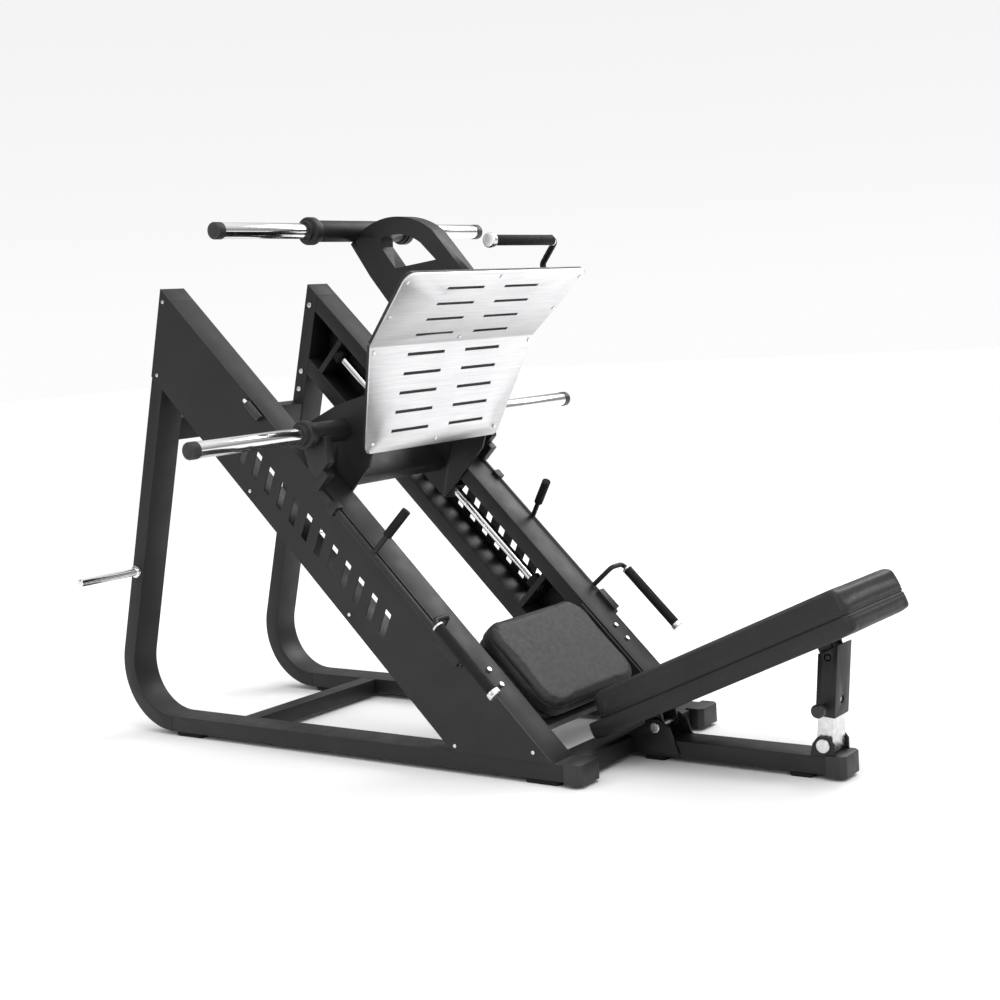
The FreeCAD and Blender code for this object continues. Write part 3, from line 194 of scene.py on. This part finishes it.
def brushed_aluminium(name, grain, light, dark, low, high, bend_shade=None):
    """Aluminium with a directional brushed grain, and painted shade at a bend, fading out above
    it, if one is given.
    """
    surface = Surface(name)
    streak = surface.ramp(surface.noise(220.0, 6.0, grain, 0.65), [(0.3, dark), (0.7, light)])
    cloud = surface.ramp(surface.noise(4.0, 3.0), [(0.3, 0.93), (0.7, 1.03)])
    tone = surface.mixed(streak, cloud)
    # Painted shade: a dark line at the bend height, then a darker tone that fades out over the
    # plate above it.
    if bend_shade:
        height, fade = bend_shade
        split = surface.add("ShaderNodeSeparateXYZ")
        surface.join(surface.place, split.inputs["Vector"])
        bend_shade_mask = surface.add("ShaderNodeMapRange")
        bend_shade_mask.inputs["From Min"].default_value = height - 0.004
        bend_shade_mask.inputs["From Max"].default_value = height + fade
        surface.join(split.outputs["Z"], bend_shade_mask.inputs["Value"])
        tone = surface.mixed(tone, surface.ramp(bend_shade_mask.outputs["Result"], [
            (0.0, 1.0), (0.012, 0.62), (0.45, 0.84), (1.0, 1.0)]))
    surface.colour(tone)
    surface.gloss(surface.spread(surface.noise(180.0, 5.0, grain), low, high))
    surface.bump(surface.noise(420.0, 5.0, grain), 0.00006, 0.5)
    return surface.set(Metallic=1.0).material


def vinyl():
    """Black upholstery vinyl with a pebbled grain and a soft sheen."""
    surface = Surface("black_vinyl")
    tone = surface.ramp(surface.noise(7.0, 4.0), [(0.3, (0.017, 0.017, 0.018)),
                                                  (0.7, (0.024, 0.024, 0.025))])
    pores = surface.ramp(surface.cells(620.0), [(0.0, 1.15), (0.6, 0.8)])
    surface.colour(surface.mixed(tone, pores))
    surface.gloss(surface.spread(surface.noise(70.0, 4.0), 0.47, 0.56))
    surface.bump(surface.cells(620.0, "SMOOTH_F1"), 0.0005, 0.45)
    surface.bump(surface.noise(120.0, 3.0), 0.0004, 0.12)
    return surface.set(Specular_IOR_Level=0.27).material


def rubber():
    """Matte black rubber with a fine grain."""
    surface = Surface("matte_rubber")
    surface.colour(surface.ramp(surface.noise(30.0, 5.0), [(0.3, (0.005, 0.005, 0.005)),
                                                           (0.7, (0.009, 0.009, 0.009))]))
    surface.gloss(surface.spread(surface.noise(60.0, 4.0), 0.62, 0.80))
    surface.bump(surface.noise(1400.0, 2.0), 0.0004, 0.4)
    return surface.set(Specular_IOR_Level=0.22).material


def moulded_plastic():
    """Black moulded plastic with a spark-eroded texture."""
    surface = Surface("moulded_plastic")
    surface.colour(surface.ramp(surface.noise(12.0, 4.0), [(0.3, (0.011, 0.011, 0.012)),
                                                           (0.7, (0.017, 0.017, 0.018))]))
    surface.gloss(surface.spread(surface.noise(30.0, 4.0), 0.42, 0.55))
    surface.bump(surface.noise(1100.0, 2.0), 0.0003, 0.3)
    return surface.material


def stained_board():
    """Black stained plywood with a long grain."""
    surface = Surface("stained_board")
    surface.colour(surface.ramp(surface.noise(50.0, 6.0, (0.1, 1.0, 1.0)),
                                [(0.3, (0.025, 0.022, 0.020)), (0.7, (0.050, 0.045, 0.040))]))
    surface.gloss(surface.spread(surface.noise(30.0, 3.0), 0.6, 0.75))
    surface.bump(surface.noise(160.0, 5.0, (0.1, 1.0, 1.0)), 0.0004, 0.4)
    return surface.material


MATERIALS = {
    "frame_paint": powder_coat("powder_coat", 650.0),
    "chrome": chrome(),
    "bright_steel": bright_steel(),
    # The tread is given painted shade along its bend at PLATE_BEND.
    "tread_aluminium": brushed_aluminium("brushed_tread", (0.03, 1.0, 1.0), (0.79, 0.79, 0.80),
                                         (0.66, 0.66, 0.67), 0.34, 0.46, (PLATE_BEND, 0.20)),
    "end_aluminium": brushed_aluminium("turned_aluminium", (1.0, 0.2, 0.2), (0.82, 0.82, 0.83),
                                       (0.66, 0.66, 0.67), 0.24, 0.36),
    "vinyl": vinyl(),
    "board": stained_board(),
    "black_rubber": rubber(),
    "black_plastic": moulded_plastic(),
    "bearing_housing": powder_coat("bearing_coat", 900.0),
}

# ---------------------------------------------------------------- mesh kit


def new_object(name, mesh):
    piece = bpy.data.objects.new(name, mesh)
    bpy.context.scene.collection.objects.link(piece)
    return piece


def from_bmesh(name, shape):
    mesh = bpy.data.meshes.new(name)
    shape.to_mesh(mesh)
    shape.free()
    return new_object(name, mesh)


def applied(piece):
    """Turns the piece's modifiers into its mesh."""
    graph = bpy.context.evaluated_depsgraph_get()
    mesh = bpy.data.meshes.new_from_object(piece.evaluated_get(graph))
    old = piece.data
    piece.modifiers.clear()
    piece.data = mesh
    bpy.data.meshes.remove(old)
    return piece


def finished(piece, slot, body, *nodes, angle=35.0):
    """Shades a piece, gives it its slot's material and puts it on its body."""
    piece.data.materials.clear()
    piece.data.materials.append(MATERIALS[slot])
    for polygon in piece.data.polygons:
        polygon.use_smooth = True
    piece.data.set_sharp_from_angle(angle=math.radians(angle))
    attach(piece, body)
    if nodes:
        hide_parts(*nodes)
    return piece


SAME_POINT = 0.00002


def welded(node):
    """A CAD node's mesh with the points that its faces share made one."""
    shape = bmesh.new()
    shape.from_mesh(NODES[node].data)
    bmesh.ops.remove_doubles(shape, verts=shape.verts, dist=SAME_POINT)
    return shape


WINDOWED = {"left_side_panel", "right_side_panel", "footplate", "footplate_pans", "tower",
            "left_cheek_plate", "right_cheek_plate"}


def softened(node, width, segments=3):
    """A copy of a CAD node with its hard edges rolled over.

    Flat faces become one polygon each, except on a sheet with windows, whose faces
    one polygon can't follow: such a sheet keeps the CAD's own triangles and its edges are not
    rolled.
    """
    shape = welded(node)
    if node in WINDOWED:
        piece = from_bmesh(node + "_shell", shape)
        return finished(piece, SLOT_OF[node], BODY_OF[node], node)
    bmesh.ops.dissolve_limit(shape, angle_limit=math.radians(1.0), verts=shape.verts,
                             edges=shape.edges)
    piece = from_bmesh(node + "_shell", shape)
    bevel = piece.modifiers.new("roll", "BEVEL")
    bevel.width = width
    bevel.segments = segments
    bevel.limit_method = "ANGLE"
    bevel.angle_limit = math.radians(35.0)
    bevel.use_clamp_overlap = True
    bevel.miter_outer = "MITER_ARC"
    bevel.harden_normals = False
    applied(piece)
    return finished(piece, SLOT_OF[node], BODY_OF[node], node)


def islands(node):
    """The separate solids of a CAD node as lists of vertex positions."""
    shape = welded(node)
    left = set(shape.verts)
    groups = []
    while left:
        stack = [left.pop()]
        members = []
        while stack:
            vertex = stack.pop()
            members.append(vertex.co.copy())
            for edge in vertex.link_edges:
                other = edge.other_vert(vertex)
                if other in left:
                    left.remove(other)
                    stack.append(other)
        groups.append(members)
    shape.free()
    return groups


def spin(name, profile, axis_start, axis, steps=64):
    """A turned solid: the profile holds pairs of distance along the axis and radius."""
    axis = axis.normalized()
    side = axis.orthogonal().normalized()
    other = axis.cross(side)
    shape = bmesh.new()
    rings = []
    for run, radius in profile:
        centre = axis_start + axis * run
        if radius < 1e-6:
            rings.append([shape.verts.new(centre)])
            continue
        ring = []
        for step in range(steps):
            turn = 2 * math.pi * step / steps
            ring.append(shape.verts.new(centre + (side * math.cos(turn)
                                                  + other * math.sin(turn)) * radius))
        rings.append(ring)
    for low, high in zip(rings, rings[1:]):
        for step in range(steps):
            after = (step + 1) % steps
            if len(low) == 1:
                shape.faces.new((low[0], high[after], high[step]))
            elif len(high) == 1:
                shape.faces.new((low[step], low[after], high[0]))
            else:
                shape.faces.new((low[step], low[after], high[after], high[step]))
    bmesh.ops.recalc_face_normals(shape, faces=shape.faces)
    return from_bmesh(name, shape)


def merged(name, pieces):
    """One object made of several."""
    shape = bmesh.new()
    for piece in pieces:
        shape.from_mesh(piece.data)
        mesh = piece.data
        bpy.data.objects.remove(piece)
        bpy.data.meshes.remove(mesh)
    return from_bmesh(name, shape)


# ---------------------------------------------------------------- steel shells

ROLLED = {
    0.005: ["left_floor_tube", "right_floor_tube", "left_rear_leg", "right_rear_leg",
            "left_top_rail", "right_top_rail", "left_lower_rail", "right_lower_rail",
            "front_cross_tube", "rear_floor_cross_tube", "rear_cross_tube", "centre_beam",
            "sled_cross_tube"],
    0.004: ["tube_end_shoes", "rubber_feet"],
    0.0028: ["tower", "post_outer_tube", "post_inner_tube"],
    0.002: ["guide_rod_brackets", "linear_bearings", "stop_bar_bearings", "hinge_brackets",
            "seat_frame", "seat_board", "back_frame", "left_cheek_plate", "right_cheek_plate",
            "stop_catches", "left_stop_bar", "right_stop_bar"],
    0.0012: ["left_side_panel", "right_side_panel", "footplate", "footplate_pans"],
    0.001: ["lower_horn_axle", "upper_horn_axle", "horn_collars", "lower_horns",
            "upper_horns", "rod_bumpers", "band_pegs", "sled_handle", "sled_handle_cap",
            "left_handle_ends", "right_handle_ends", "pop_pin", "hinge_pins",
            "left_guide_rod", "right_guide_rod", "sled_handle_grip", "left_stop_grips",
            "right_stop_grips", "rail_buffers", "frame_bolts", "panel_screws", "footplate_screws"],
}
for width, names in ROLLED.items():
    for node in names:
        softened(node, width)

# ---------------------------------------------------------------- pads


def slab(name, size, plan_radius, top_radius, under_radius):
    """A closed slab with rounded corners in plan and a different roll on each rim."""
    shape = bmesh.new()
    bmesh.ops.create_cube(shape, size=1.0)
    bmesh.ops.scale(shape, vec=size, verts=shape.verts)
    upright = [edge for edge in shape.edges
               if abs(edge.verts[0].co.z - edge.verts[1].co.z) > size[2] / 2]
    bmesh.ops.bevel(shape, geom=upright, offset=plan_radius, segments=10, profile=0.5,
                    affect="EDGES")
    for height, radius in ((size[2] / 2, top_radius), (-size[2] / 2, under_radius)):
        rim = [edge for edge in shape.edges
               if all(abs(corner.co.z - height) < 1e-5 for corner in edge.verts)]
        bmesh.ops.bevel(shape, geom=rim, offset=radius, segments=5, profile=0.5,
                        affect="EDGES")
    return from_bmesh(name, shape)


def remeshed(piece, voxel):
    """Even quads over the whole closed surface."""
    remesh = piece.modifiers.new("remesh", "REMESH")
    remesh.mode = "VOXEL"
    remesh.voxel_size = voxel
    return applied(piece)


def inflated(piece, held, pressure, cap, frames=18):
    """Blows a closed cover up with cloth: held points stay, and no point moves past the cap."""
    rest = [vertex.co.copy() for vertex in piece.data.vertices]
    group = piece.vertex_groups.new(name="held")
    for index, point in enumerate(rest):
        grip = held(point)
        if grip > 0.0:
            group.add([index], grip, "REPLACE")
    cloth = piece.modifiers.new("cover", "CLOTH")
    settings = cloth.settings
    settings.quality = 6
    settings.mass = 0.4
    settings.tension_stiffness = 12.0
    settings.compression_stiffness = 12.0
    settings.shear_stiffness = 6.0
    settings.bending_stiffness = 0.8
    settings.use_pressure = True
    settings.uniform_pressure_force = pressure
    settings.vertex_group_mass = "held"
    settings.pin_stiffness = 1.0
    settings.effector_weights.gravity = 0.0
    cloth.collision_settings.use_collision = False
    cloth.point_cache.frame_start = 1
    cloth.point_cache.frame_end = frames
    scene = bpy.context.scene
    for step in range(1, frames + 1):
        scene.frame_set(step)
    graph = bpy.context.evaluated_depsgraph_get()
    moved = [vertex.co.copy() for vertex in piece.evaluated_get(graph).data.vertices]
    piece.modifiers.clear()
    piece.vertex_groups.clear()
    for vertex, before, after in zip(piece.data.vertices, rest, moved):
        shift = after - before
        if shift.length > cap:
            shift = shift.normalized() * cap
        vertex.co = before + shift
    scene.frame_set(1)
    return piece


def smooth_step(low, high, number):
    ratio = min(1.0, max(0.0, (number - low) / (high - low)))
    return ratio * ratio * (3 - 2 * ratio)


def relaxed(piece, rounds, amount):
    """Evens out the cover a little."""
    smooth = piece.modifiers.new("smooth", "SMOOTH")
    smooth.iterations = rounds
    smooth.factor = amount
    return applied(piece)


def subdivided(piece, levels=1):
    divide = piece.modifiers.new("fine", "SUBSURF")
    divide.levels = levels
    divide.render_levels = levels
    return applied(piece)


def pull_in(piece, groove):
    """Moves each point against its normal by the depth that groove gives for it."""
    normals = [vertex.normal.copy() for vertex in piece.data.vertices]
    for vertex, normal in zip(piece.data.vertices, normals):
        vertex.co = vertex.co - normal * groove(vertex.co, normal)
    return piece


BACK_TILT = math.radians(24.13)
BACK_EDGE = Vector((0.0, -0.450, 0.203))
BACK_WIDTH = 0.400
SEAM = -0.065
SEAM_LAP = 0.0020
CUSHION_TOP = 0.007
CUSHION_RUN = (0.0, 0.8507)
BASE_BOTTOM = -0.113
BASE_RUN = (-0.050, 0.8507)

CELL = 0.0062
SEAT_CELL = 0.0055
BACK_CORNER = 0.022
BACK_SHRINK = 0.0025
SEAM_GAP = 0.0004
STITCH_INSET = 0.0115

SEAT_SIZE = (0.494, 0.340, 0.065)
SEAT_CORNER = 0.070
SEAT_SHRINK = 0.0035
SEAT_STITCH_INSET = 0.017
SEAT_FOOT = -0.554
SEAT_TOP = 0.022


def back_place(run, low, high):
    """Where a layer of the backrest lies: its run up the rest and its height off it."""
    return (Matrix.Translation(BACK_EDGE) @ Matrix.Rotation(-BACK_TILT, 4, "X")
            @ Matrix.Translation((0.0, -(run[0] + run[1]) / 2, (low + high) / 2)))


def layer(name, run, low, high, rims, node, held_side, pressure, cap):
    """One upholstered layer of the backrest, held flat on its seam side."""
    size = (BACK_WIDTH - 2 * BACK_SHRINK, run[1] - run[0] - 2 * BACK_SHRINK,
            high - low - SEAM_GAP)
    pad = slab(name, size, BACK_CORNER, *rims)
    remeshed(pad, CELL)
    half_thick = size[2] / 2

    def held(point):
        return smooth_step(half_thick - 0.016, half_thick - 0.006, point.z * held_side)

    inflated(pad, held, pressure, cap)
    relaxed(pad, 3, 0.4)
    subdivided(pad)
    stitch_line = held_side * (half_thick - STITCH_INSET)

    def groove(point, normal):
        """A sewn line beside the seam, and puckers along it."""
        flat = 1.0 - abs(normal.z)
        line = math.exp(-((point.z - stitch_line) / 0.0018) ** 2) * 0.0016 * flat
        pucker = 0.0006 * noise.noise(Vector((point.x * 55, point.y * 55, 3.0)))
        near = math.exp(-((point.z - stitch_line) / 0.014) ** 2) * flat
        return line + pucker * near

    pull_in(pad, groove)
    pad.data.transform(back_place(run, low, high))
    finished(pad, "vinyl", "backrest", node, angle=80)
    return pad


def seat():
    """The seat pad: a crowned top with a sewn rim round its edge."""
    size = [length - 2 * SEAT_SHRINK for length in SEAT_SIZE]
    pad = slab("seat_pad", size, SEAT_CORNER, 0.010, 0.006)
    remeshed(pad, SEAT_CELL)
    half_thick = size[2] / 2

    def held(point):
        return smooth_step(half_thick - 0.012, half_thick - 0.002, -point.z)

    inflated(pad, held, 2.6, 0.0045)
    relaxed(pad, 3, 0.4)
    subdivided(pad)
    rim = half_thick - SEAT_STITCH_INSET

    def groove(point, normal):
        flat = 1.0 - abs(normal.z)
        pucker = 0.0005 * noise.noise(Vector((point.x * 60, point.y * 60, 11.0)))
        near = math.exp(-((point.z - rim) / 0.012) ** 2) * flat
        return math.exp(-((point.z - rim) / 0.0020) ** 2) * 0.0022 * flat + pucker * near

    pull_in(pad, groove)
    pad.data.transform(Matrix.Translation(RAIL_DATUM)
                       @ Matrix.Rotation(math.radians(45), 4, "X")
                       @ Matrix.Translation((0.0, SEAT_FOOT + SEAT_SIZE[1] / 2,
                                             SEAT_TOP - SEAT_SIZE[2] / 2)))
    finished(pad, "vinyl", "frame", "seat_cushion", angle=80)
    return pad


def caps():
    """Moulded caps over the horns' ends: a domed face, a soft rim and a short skirt."""
    skirt, rim_radius, face_radius = 0.031, 0.0250, 0.0205
    pieces = []
    for members in islands("horn_caps"):
        low = min(point.x for point in members)
        high = max(point.x for point in members)
        outward = ACROSS if high > 0 else -ACROSS
        outer = high if high > 0 else low
        middle_y = (min(point.y for point in members) + max(point.y for point in members)) / 2
        middle_z = (min(point.z for point in members) + max(point.z for point in members)) / 2
        start = Vector((outer, middle_y, middle_z)) - outward * skirt
        profile = [(0.0, 0.0), (0.0, rim_radius - 0.0008), (0.0010, rim_radius),
                   (skirt - 0.006, rim_radius), (skirt - 0.003, rim_radius - 0.0011),
                   (skirt - 0.0008, face_radius + 0.0012), (skirt - 0.0003, face_radius),
                   (skirt - 0.0012, face_radius - 0.0015), (skirt - 0.0012, 0.006),
                   (skirt - 0.0006, 0.0)]
        pieces.append(spin("cap", profile, start, outward))
    finished(merged("horn_end_caps", pieces), SLOT_OF["horn_caps"], BODY_OF["horn_caps"],
             "horn_caps")


layer("backrest_cushion", CUSHION_RUN, SEAM - SEAM_LAP, CUSHION_TOP, (0.014, 0.0025),
      "back_cushion", -1, 3.4, 0.005)
layer("backrest_base", BASE_RUN, BASE_BOTTOM, SEAM + SEAM_LAP, (0.0025, 0.006),
      "back_base", 1, 1.6, 0.003)
seat()
caps()

# ---------------------------------------------------------------- floor, light and camera


def floor():
    shape = bmesh.new()
    bmesh.ops.create_grid(shape, x_segments=8, y_segments=8, size=30.0)
    plane = from_bmesh("studio_floor", shape)
    surface = Surface("pale_floor")
    surface.colour(surface.ramp(surface.noise(0.6, 2.0), [(0.3, 0.93), (0.7, 0.95)]))
    surface.gloss(surface.spread(surface.noise(3.0, 2.0), 0.65, 0.75))
    surface.set(Specular_IOR_Level=0.2)
    plane.data.materials.append(surface.material)


def world():
    """A pale backdrop for the camera, and a soft box that is brightest overhead."""
    sky = bpy.data.worlds.new("studio_world")
    bpy.context.scene.world = sky
    sky.use_nodes = True
    tree = sky.node_tree
    place = tree.nodes.new("ShaderNodeTexCoord")
    split = tree.nodes.new("ShaderNodeSeparateXYZ")
    tree.links.new(place.outputs["Generated"], split.inputs["Vector"])

    def shade(stops):
        ramp = tree.nodes.new("ShaderNodeValToRGB")
        elements = ramp.color_ramp.elements
        while len(elements) < len(stops):
            elements.new(0.5)
        for element, (position, grey) in zip(elements, stops):
            element.position = position
            element.color = (grey, grey, grey, 1.0)
        background = tree.nodes.new("ShaderNodeBackground")
        tree.links.new(split.outputs["Z"], ramp.inputs["Fac"])
        tree.links.new(ramp.outputs["Color"], background.inputs["Color"])
        return background.outputs["Background"]

    light = shade([(0.0, 0.28), (0.14, 0.34), (0.35, 0.50), (0.60, 0.90), (1.0, 1.20)])
    backdrop = shade([(0.0, 0.975), (0.06, 0.945), (0.20, 0.895)])
    path = tree.nodes.new("ShaderNodeLightPath")
    mix = tree.nodes.new("ShaderNodeMixShader")
    tree.links.new(path.outputs["Is Camera Ray"], mix.inputs["Fac"])
    tree.links.new(light, mix.inputs[1])
    tree.links.new(backdrop, mix.inputs[2])
    tree.links.new(mix.outputs["Shader"], tree.nodes["World Output"].inputs["Surface"])


def area_light(name, place, target, size, power):
    light = bpy.data.lights.new(name, "AREA")
    light.shape = "RECTANGLE"
    light.size, light.size_y = size
    light.energy = power
    lamp = bpy.data.objects.new(name, light)
    bpy.context.scene.collection.objects.link(lamp)
    lamp.location = place
    lamp.rotation_euler = (Vector(target) - Vector(place)).to_track_quat("-Z", "Y").to_euler()


floor()
world()
sun_data = bpy.data.lights.new("overhead", "SUN")
sun_data.energy = 0.75
sun_data.angle = math.radians(50)
sun = bpy.data.objects.new("overhead", sun_data)
bpy.context.scene.collection.objects.link(sun)
sun.rotation_euler = Vector((0.15, 0.45, -1.0)).to_track_quat("-Z", "Y").to_euler()
for name, place, target, size, power in (
        ("front_strip", (-2.4, -3.4, 3.0), (0, 0, 0.7), (0.5, 3.0), 40),
        ("side_strip", (-4.2, 1.4, 2.2), (0, 0, 0.9), (0.4, 3.0), 30),
        ("high_right", (4.8, -0.9, 4.3), (0, -0.1, 0.7), (3.4, 3.4), 150)):
    area_light(name, place, target, size, power)
bpy.context.scene.view_settings.view_transform = "Standard"

CAMERA_PLACE = Vector((-4.1205, -3.0325, 1.3060))
CAMERA_AZIMUTH = math.radians(-54.045)
CAMERA_ELEVATION = math.radians(6.52)
CAMERA_ROLL = math.radians(-3.663)
back = Vector((math.sin(CAMERA_AZIMUTH) * math.cos(CAMERA_ELEVATION),
               -math.cos(CAMERA_AZIMUTH) * math.cos(CAMERA_ELEVATION),
               math.sin(CAMERA_ELEVATION)))
right = (-back).cross(Vector((0, 0, 1))).normalized()
up = back.cross(right)
tilted_right = right * math.cos(CAMERA_ROLL) + up * math.sin(CAMERA_ROLL)
tilted_up = up * math.cos(CAMERA_ROLL) - right * math.sin(CAMERA_ROLL)
camera_data = bpy.data.cameras.new("camera")
camera_data.sensor_width = 36.0
camera_data.lens = 60.4
camera_data.shift_x = -0.0015
camera_data.shift_y = 0.0075
camera = bpy.data.objects.new("camera", camera_data)
bpy.context.scene.collection.objects.link(camera)
camera.matrix_world = Matrix.Translation(CAMERA_PLACE) @ Matrix((
    (tilted_right.x, tilted_up.x, back.x, 0), (tilted_right.y, tilted_up.y, back.y, 0),
    (tilted_right.z, tilted_up.z, back.z, 0), (0, 0, 0, 1)))
bpy.context.scene.camera = camera
